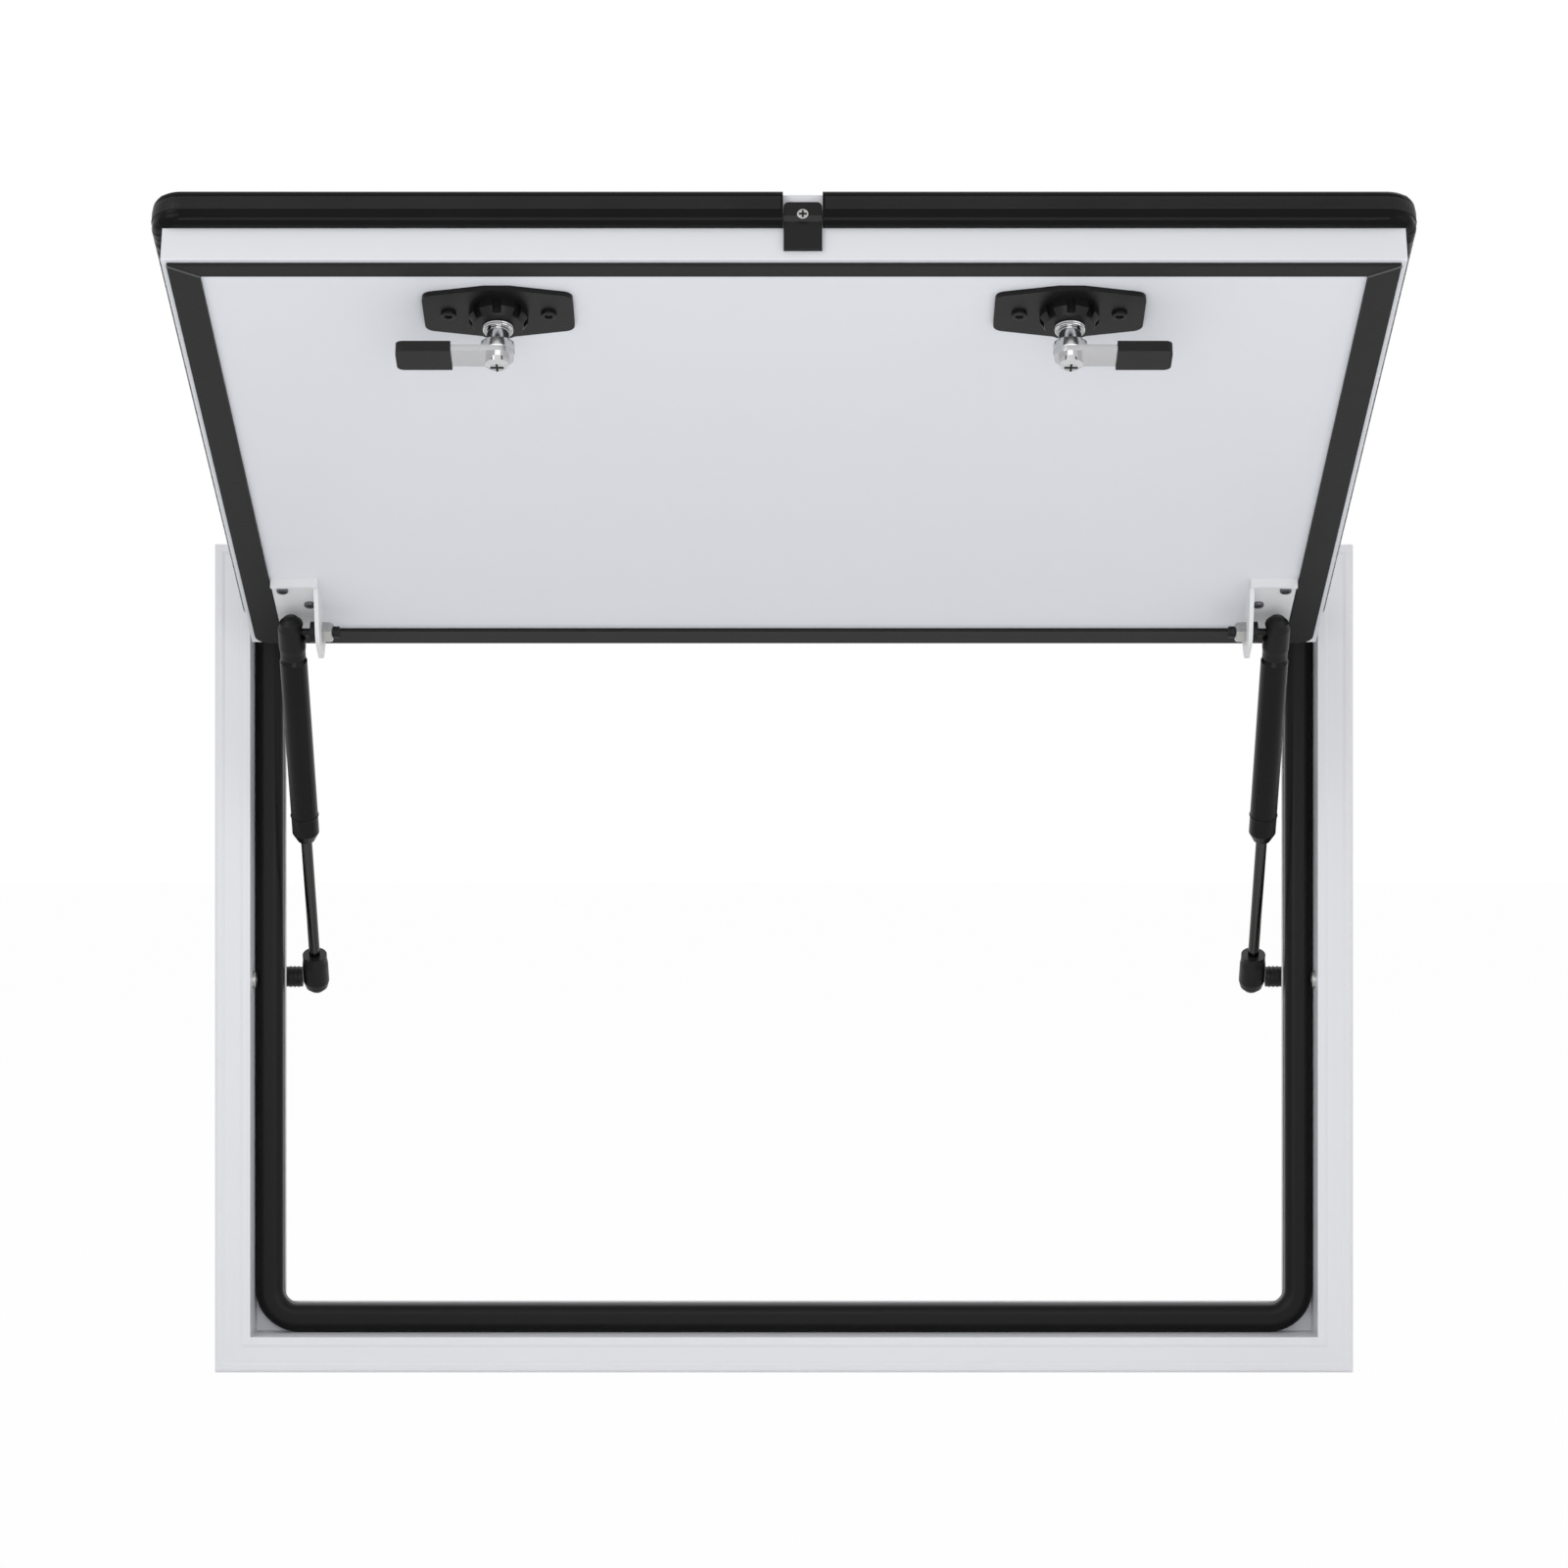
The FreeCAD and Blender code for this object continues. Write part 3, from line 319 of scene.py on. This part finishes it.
# %% [markdown]
# ## Bare metal and the foam core
# Chrome, zinc and ground steel differ in colour and roughness. A stretched noise stands for the marks of
# turning and rolling. The core only shows in a cut, and keeps a dull cream colour.

# %% Metals
mark_stretch = (40.0, 900.0, 900.0)
mark_detail = 2.0
mark_shade = 0.9


def metal(name, colour, roughness, scratch):
    """A metal with fine marks in its gloss."""
    finish = Finish(name)
    marks = finish.streaks(mark_stretch, mark_detail)
    marked = tuple(channel * mark_shade for channel in colour)
    finish.set(Base_Color=finish.tint(marks, marked, colour),
               Roughness=finish.about(roughness, marks, scratch), Metallic=1.0)
    return finish.material


lock_chrome = metal("lock_chrome", (0.64, 0.64, 0.65), 0.12, 0.06)
cam_steel = metal("cam_steel", (0.66, 0.66, 0.67), 0.24, 0.14)
rod_steel = metal("rod_steel", (0.055, 0.053, 0.052), 0.16, 0.08)
hinge_metal = metal("hinge_metal", (0.74, 0.75, 0.76), 0.30, 0.15)
zinc = metal("zinc", (0.46, 0.46, 0.45), 0.30, 0.15)
screw_steel = metal("screw_steel", (0.16, 0.16, 0.17), 0.34, 0.12)
core_foam = painted("core_foam", (0.62, 0.58, 0.46), 0.8, 0.15)
print("metals:", listed(lock_chrome, cam_steel, rod_steel, hinge_metal, zinc, screw_steel))

# %% [markdown]
# ## Every solid gets its finish
# The record names a material slot for each node, so one table from slot to finish dresses all solids.
# The outer skin shares its slot with the edge channels, and is a little whiter and cleaner than they are.

# %% Dress the solids
finishes = {
    "frame_white": frame_paint, "door_white": edge_paint, "inner_panel": panel_paint,
    "core_foam": core_foam, "seal_rubber": seal_rubber, "gasket_rubber": gasket_rubber,
    "trim_rubber": trim_rubber, "black_plastic": moulded_black, "sleeve_plastic": sleeve_black,
    "hinge_metal": hinge_metal, "bracket_white": bracket_paint, "stud_black": stud_paint,
    "tube_black": tube_paint, "rod_steel": rod_steel, "lock_chrome": lock_chrome, "cam_steel": cam_steel,
}
slots = {part["node"]: part["material_slot"] for part in frame["record"]["subparts"]}
for name, solid in nodes.items():
    solid.data.materials.clear()
    solid.data.materials.append(outer_paint if name == "door_outer_skin" else finishes[slots[name]])
print("dressed:", len(slots))

# %% [markdown]
# ## Fasteners
# Screws and nuts are turned pieces, so each starts as a cylinder or a six-sided prism along Z. Its rim is
# bevelled, a drive is an inset face pushed in, and a matrix sets it on its seat.

# %% Helpers for turned pieces
tiny = 1e-7
rim_share = 0.3  # of the head's smaller size
drive_inset = 0.35  # of its radius
drive_depth = 0.45  # of its height


def seat(place, axis):
    """A matrix that lays Z along an axis at a place."""
    turn = Vector((0, 0, 1)).rotation_difference(axis).to_matrix().to_4x4()
    return Matrix.Translation(place) @ turn


def made_of(shape, name, finish):
    """An object made of a bmesh, with its finish."""
    mesh = bpy.data.meshes.new(name)
    shape.to_mesh(mesh)
    shape.free()
    mesh.materials.append(finish)
    piece = bpy.data.objects.new(name, mesh)
    bpy.context.collection.objects.link(piece)
    return piece


def keep(shape, name, finish, body):
    """Makes a piece of a bmesh and lets it ride on a body."""
    bmesh.ops.recalc_face_normals(shape, faces=shape.faces)
    piece = made_of(shape, name, finish)
    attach(piece, body)


def bevel(shape, edges, size):
    """Rounds edges in two steps."""
    bmesh.ops.bevel(shape, geom=edges, offset=size, offset_type="OFFSET", segments=2, profile=0.5,
                    affect="EDGES", material=-1)


def head(name, place, axis, size, finish, body, corners=28, drive=True):
    """A screw head or nut of a radius and a height, with a bevelled rim and a sunk drive."""
    radius, height = size
    shape = bmesh.new()
    bmesh.ops.create_cone(shape, cap_ends=True, segments=corners, radius1=radius, radius2=radius,
                          depth=height)
    bmesh.ops.translate(shape, verts=shape.verts, vec=(0, 0, height / 2))
    rim = [edge for edge in shape.edges if all(abs(v.co.z - height) < tiny for v in edge.verts)]
    bevel(shape, rim, min(size) * rim_share)
    if drive:
        top = max(shape.faces, key=lambda face: face.calc_center_median().z)
        bmesh.ops.inset_region(shape, faces=[top], thickness=radius * drive_inset)
        sunk = bmesh.ops.extrude_discrete_faces(shape, faces=[top])["faces"]
        bmesh.ops.translate(shape, verts=sunk[0].verts, vec=(0, 0, -height * drive_depth))
    bmesh.ops.transform(shape, matrix=seat(place, axis), verts=shape.verts)
    keep(shape, name, finish, body)


print("helpers ready")

# %% Latch, bracket and clip screws
latch_screw = (0.0036, 0.0016)
latch_reach = 0.023
bracket_screw = (0.0030, 0.0014)
bracket_places = ((0.25, 0.45), (0.78, 0.16))  # shares of the bracket's width and height
clip_screw = (0.0026, 0.0010)
clip_offset = 0.005

for side, sign in sides.items():
    low, high = shut_box(f"{side}_latch_plate")
    middle = (low + high) / 2
    for i, reach in enumerate((-latch_reach, latch_reach)):
        head(f"{side}_latch_screw_{i}", on_door(middle.x + reach, high.y, middle.z), inward,
             latch_screw, moulded_black, "door")
    bracket = f"{side}_strut_bracket"
    low, high = shut_box(bracket)
    inner, outer = ends((low, high), sign)
    depths = sorted({round((to_shut @ point).y, 5) for point in vertices(bracket)})
    plate_face = depths[1]
    for i, (across, along) in enumerate(bracket_places):
        place = on_door(inner + across * (outer - inner), plate_face, low.z + along * (high.z - low.z))
        head(f"{side}_bracket_screw_{i}", place, inward, bracket_screw, screw_steel, "door")
low, high = shut_box("trim_clip")
clip_place = Vector(((low.x + high.x) / 2, (low.y + high.y) / 2 - clip_offset, low.z))
head("clip_screw", on_door(*clip_place), down_slab, clip_screw, zinc, "door", drive=False)
print("door screws set")

# %% [markdown]
# ## Nuts on the studs and fasteners in the jamb
# A zinc nut holds each upper stud behind the bracket's tongue. In each side of the frame the head of a
# fastener shows in the jamb, level with the strut's lower stud.

# %% Nuts and jamb heads
stud_nut = (0.0058, 0.0055)
jamb_head = (0.0048, 0.0018)
jamb_depth = 0.011
jamb_gap = 0.0003  # between the seal and the jamb

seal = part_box("frame_seal")
for side, sign in sides.items():
    to_middle = Vector((-sign, 0, 0))
    tongue, _ = ends(shut_box(f"{side}_strut_bracket"), sign)
    low, high = shut_box(f"{side}_upper_stud")
    centre = (low + high) / 2
    head(f"{side}_stud_nut", on_door(tongue, centre.y, centre.z), to_middle, stud_nut,
         zinc, "door", corners=6, drive=False)
    low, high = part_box(f"{side}_lower_stud")
    _, seal_edge = ends(seal, sign)
    place = Vector((seal_edge + sign * jamb_gap, jamb_depth, (low.z + high.z) / 2))
    head(f"{side}_jamb_head", place, to_middle, jamb_head, zinc, "frame")
print("nuts and jamb heads set")

# %% [markdown]
# ## Ribs on the rubber trim
# The trim is an extrusion with lengthwise ribs: a broad flat one on the outer half of its face and a fine lip
# beside it. Both are coloured paler than the rest of the trim as painted sheen: the broad one stands in for
# the light reflected along the trim's face, the lip for a painted highlight at its edge. Each is a bead, made by
# placing a small ring at points along the free edge and up the side and bridging from ring to ring. One axis
# of the ring lies along the slab's depth, so a bead can be flattened.

# %% Trim ribs
trim_corner = 0.014
trim_start = 0.004  # from the trim's end at the hinge
trim_end = 0.001  # from its joint
# the ribs' paler colour is painted sheen, and on the fine lip a painted highlight
ribs = (  # share of the trim's depth, inset from its outline, radius, breadth
    (0.42, 0.0001, 0.0004, 8.0),
    (0.60, 0.0002, 0.0006, 1.0),
)


def bead(name, points, radius, finish, wide=1.0, corners=12):
    """A bead on the door through points, so many times broader along the slab's depth."""
    shape = bmesh.new()
    rings = []
    for i, point in enumerate(points):
        before = points[max(i - 1, 0)]
        after = points[min(i + 1, len(points) - 1)]
        along = (after - before).normalized()
        turn = Matrix((inward * wide, along.cross(inward), along)).transposed().to_4x4()
        ring = bmesh.ops.create_circle(shape, cap_ends=False, segments=corners, radius=radius)["verts"]
        bmesh.ops.transform(shape, matrix=Matrix.Translation(point) @ turn, verts=ring)
        rings.append(ring)
    for pair in zip(rings, rings[1:]):
        edges = [edge for edge in shape.edges if any(all(v in ring for v in edge.verts) for ring in pair)]
        bmesh.ops.bridge_loops(shape, edges=edges)
    bmesh.ops.holes_fill(shape, edges=[edge for edge in shape.edges if edge.is_boundary])
    keep(shape, name, finish, "door")


def trim_line(side, share, inset, steps=10):
    """Points along half of the trim, from the hinge round the corner to its joint."""
    sign = sides[side]
    low, high = shut_box(f"{side}_edge_trim")
    joint, edge = ends((low, high), sign)
    depth = low.y + share * (high.y - low.y)
    outer = edge - sign * inset
    foot = low.z + inset
    turn = trim_corner - inset
    line = [on_door(outer, depth, high.z - trim_start)]
    for i in range(steps + 1):
        angle = math.pi / 2 * i / steps
        x = outer - sign * turn * (1 - math.cos(angle))
        line.append(on_door(x, depth, foot + turn * (1 - math.sin(angle))))
    line.append(on_door(joint + sign * trim_end, depth, foot))
    return line


for side in sides:
    for i, (share, inset, radius, wide) in enumerate(ribs):
        line = trim_line(side, share, inset)
        bead(f"{side}_trim_sheen_rib_{i}", line, radius, painted_sheen_rubber, wide)
print("trim ribs on each side:", len(ribs))

# %% [markdown]
# ## Mitres of the gasket
# The flat gasket is cut from strip, and its strips meet in a mitre at the two free corners, where a fine ridge
# runs along the joint; its paler colour is a painted highlight. The same bead makes it, from the outer corner to
# the inner one.

# %% Gasket mitres
side_strip = 0.014
free_strip = 0.009
ridge = 0.0005

low, high = shut_box("door_gasket")
# the ridge's paler colour is a painted highlight along the mitre
for side, sign in sides.items():
    _, edge = ends((low, high), sign)
    corners = ((edge, low.z), (edge - sign * side_strip, low.z + free_strip))
    line = [on_door(x, high.y, z) for x, z in corners]
    bead(f"{side}_gasket_mitre", line, ridge, mitre_painted_highlight)
print("gasket mitres:", len(sides))

# %% [markdown]
# ## Threads and key slots of the locks
# The lock's body is threaded where it leaves the collar nut. Real threads are a helix; at this size plain
# rings read the same, and a ring is one small circle spun about the lock's axis. On the outer face each
# plug has a slot for the key; a thin dark block that turns with the cam stands in for it, painted shade in
# place of the hollow. Two more such blocks cross on the nut at the cam's end, painted shade for its notches,
# and two on the clip's screw, painted shade for its cross drive.

# %% Threads and key slots
wire_corners = 8
spin_steps = 36
block_bevel = 0.2  # of the block's smallest size
thread_radius = 0.0065
thread_wire = 0.0006
thread_shares = (0.30, 0.75)  # of the way from the collar to the barrel's end
# sizes of the dark blocks below, which are painted shade standing in for hollows
key_slot = (0.0014, 0.0005, 0.0065)
nut_notches = ((0.0011, 0.0006, 0.0062), (0.0062, 0.0006, 0.0011))
screw_cross = ((0.0036, 0.0009, 0.0005), (0.0009, 0.0036, 0.0005))


def thread_ring(name, place, axis, radius, wire, finish, body):
    """A ring spun from a small circle."""
    shape = bmesh.new()
    circle = bmesh.ops.create_circle(shape, cap_ends=False, segments=wire_corners, radius=wire)["verts"]
    bmesh.ops.rotate(shape, verts=circle, cent=(0, 0, 0), matrix=Matrix.Rotation(math.pi / 2, 3, "X"))
    bmesh.ops.translate(shape, verts=circle, vec=(radius, 0, 0))
    bmesh.ops.spin(shape, geom=shape.verts[:] + shape.edges[:], cent=(0, 0, 0), axis=(0, 0, 1),
                   dvec=(0, 0, 0), angle=2 * math.pi, steps=spin_steps, use_merge=True,
                   use_duplicate=False)
    bmesh.ops.remove_doubles(shape, verts=shape.verts, dist=tiny)
    bmesh.ops.transform(shape, matrix=seat(place, axis), verts=shape.verts)
    keep(shape, name, finish, body)


def painted_shade_block(name, place, size, body):
    """A small dark block with softened edges, centred on a place of the shut door, as painted shade for a hollow.
    """
    shape = bmesh.new()
    bmesh.ops.create_cube(shape, size=1.0)
    bmesh.ops.scale(shape, verts=shape.verts, vec=size)
    bevel(shape, shape.edges[:], min(size) * block_bevel)
    bmesh.ops.transform(shape, matrix=to_open @ Matrix.Translation(place), verts=shape.verts)
    keep(shape, name, moulded_black, body)


for side in sides:
    barrel_low, barrel_high = shut_box(f"{side}_latch_barrel")
    collar_low, collar_high = shut_box(f"{side}_latch_collar")
    centre = (collar_low + collar_high) / 2
    for i, share in enumerate(thread_shares):
        y = collar_high.y + share * (barrel_high.y - collar_high.y)
        thread_ring(f"{side}_thread_{i}", on_door(centre.x, y, centre.z), inward, thread_radius,
                    thread_wire, lock_chrome, "door")
    plug = Vector((centre.x, barrel_low.y, centre.z))
    # painted shadow: the block stands in for the shade inside the key slot
    painted_shade_block(f"{side}_key_slot", plug, key_slot, f"{side}_cam")
    nut = Vector((centre.x, shut_box(f"{side}_latch_spindle")[1].y, centre.z))
    # painted shade: the blocks stand in for the notches of the nut
    for i, size in enumerate(nut_notches):
        painted_shade_block(f"{side}_nut_notch_{i}", nut, size, f"{side}_cam")
clip_top = clip_place - Vector((0, 0, clip_screw[1]))
# painted shade: the blocks stand in for the clip screw's cross drive
for i, size in enumerate(screw_cross):
    painted_shade_block(f"clip_screw_cross_{i}", clip_top, size, "door")
print("threads, key slots, notches and the clip screw's cross set")

# %% [markdown]
# ## Crimps of the gas struts
# The rod's guide is held in the tube by a crimp, which shows as a fine ring a little above the tube's
# mouth. The strut lies at a slant, so its axis comes from the joint that slides the rod, and the tube's
# reach and radius from its vertices. The ring is then spun as the threads are. The lower studs get a few
# threads too, beside the fitting.

# %% Crimp rings
crimp_rise = 0.016
crimp_wire = 0.0004

for side in sides:
    ball = Vector(joints[f"{side}_strut_swing"]["pos_m"])
    axis = Vector(joints[f"{side}_rod_slide"]["axis"]).normalized()
    points = [point - ball for point in vertices(f"{side}_strut_tube")]
    mouth = max((point.dot(axis) for point in points), key=abs)
    tube_radius = max((point - axis * point.dot(axis)).length for point in points)
    rise = mouth - math.copysign(crimp_rise, mouth)
    thread_ring(f"{side}_tube_crimp", ball + axis * rise, axis, tube_radius, crimp_wire,
                tube_paint, f"{side}_tube")
print("crimp rings of radius", round(tube_radius, 4), "near the mouth at", round(mouth, 4))

# %% Threads of the lower studs
stud_wire = 0.0004
stud_pitch = 0.0022
stud_turns = 3

for side, sign in sides.items():
    low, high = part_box(f"{side}_lower_stud")
    centre = (low + high) / 2
    end, _ = ends((low, high), sign)
    for i in range(stud_turns):
        place = Vector((end + sign * stud_pitch * (i + 1), centre.y, centre.z))
        thread_ring(f"{side}_stud_thread_{i}", place, Vector((1, 0, 0)), (high.z - low.z) / 2,
                    stud_wire, stud_paint, "frame")
print("threads on each lower stud:", stud_turns)

# %% [markdown]
# ## Studio
# A pale floor under the frame and a white world give the plain background. Four large soft lamps and the
# world light the object evenly, so that white paint stays below clipping and black rubber shows a sheen.

# %% Floor and world
white = (1, 1, 1, 1)
floor_size = 12.0
floor_gap = 0.0002
floor_glow = 0.97  # share of plain white in the floor, for the rays that see the background
sky_light = 0.55  # strength of the world's light; the background itself is at 1

scene = bpy.context.scene
scene.view_settings.view_transform = "Standard"
floor_finish = Finish("floor_finish")
floor_finish.set(Base_Color=(0.90, 0.90, 0.90, 1), Roughness=0.9, Specular_IOR_Level=0.1)
glow = floor_finish.node("ShaderNodeEmission", {}, {"Color": white, "Strength": 1.0})
paint = Wire(floor_finish, floor_finish.shader.outputs[0])
mixed = floor_finish.node("ShaderNodeMixShader", {},
                          {0: floor_finish.backdrop_rays() * floor_glow, 1: paint, 2: glow})
floor_finish.feed(floor_finish.tree.nodes["Material Output"].inputs["Surface"], mixed)
shape = bmesh.new()
bmesh.ops.create_grid(shape, x_segments=1, y_segments=1, size=floor_size)
bmesh.ops.translate(shape, verts=shape.verts, vec=(0, 0, cad_low.z - floor_gap))
floor = made_of(shape, "floor", floor_finish.material)

world = bpy.data.worlds.new("studio")
scene.world = world
world.use_nodes = True
sky = Tree(world.node_tree)
background = world.node_tree.nodes["Background"]
sky.feed(background.inputs["Color"], white)
sky.feed(background.inputs["Strength"], sky_light + (1 - sky_light) * sky.backdrop_rays())
print("floor at", round(cad_low.z - floor_gap, 4))

# %% Lamps
aim = (0, 0, 0.3)
lamps = (  # name, place, target, power, size
    ("key", (-1.6, -2.0, 1.9), aim, 17, 1.6),
    ("fill", (1.9, -1.8, 0.9), aim, 8, 1.8),
    ("under", (0.0, -1.6, 0.12), (0, -0.2, 0.5), 8, 1.0),
    ("top", (0.3, 1.2, 2.4), aim, 13, 1.8),
)
for name, place, target, power, size in lamps:
    light = bpy.data.lights.new(name, "AREA")
    light.energy = power
    light.size = size
    lamp = bpy.data.objects.new(name, light)
    lamp.location = place
    lamp.rotation_euler = (Vector(target) - Vector(place)).to_track_quat("-Z", "Y").to_euler()
    bpy.context.collection.objects.link(lamp)
print("lamps:", len(lamps))

# %% [markdown]
# ## Camera
# The photograph was taken level, straight on, from about four frame widths away. One millimetre at the
# frame's face is one pixel of the photograph, which fixes the lens once the distance is known.

# %% Camera
eye_distance = 2.423
eye_height = 0.3059
crop_width = 0.84
sensor = 36.0

view = bpy.data.cameras.new("photo_view")
view.sensor_width = sensor
view.lens = sensor * eye_distance / crop_width
camera = bpy.data.objects.new("photo_view", view)
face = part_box("frame_bottom_rail")[0].y
camera.location = (0.0, face - eye_distance, eye_height)
camera.rotation_euler = (math.pi / 2, 0, 0)
bpy.context.collection.objects.link(camera)
scene.camera = camera
print("lens:", round(view.lens, 1))
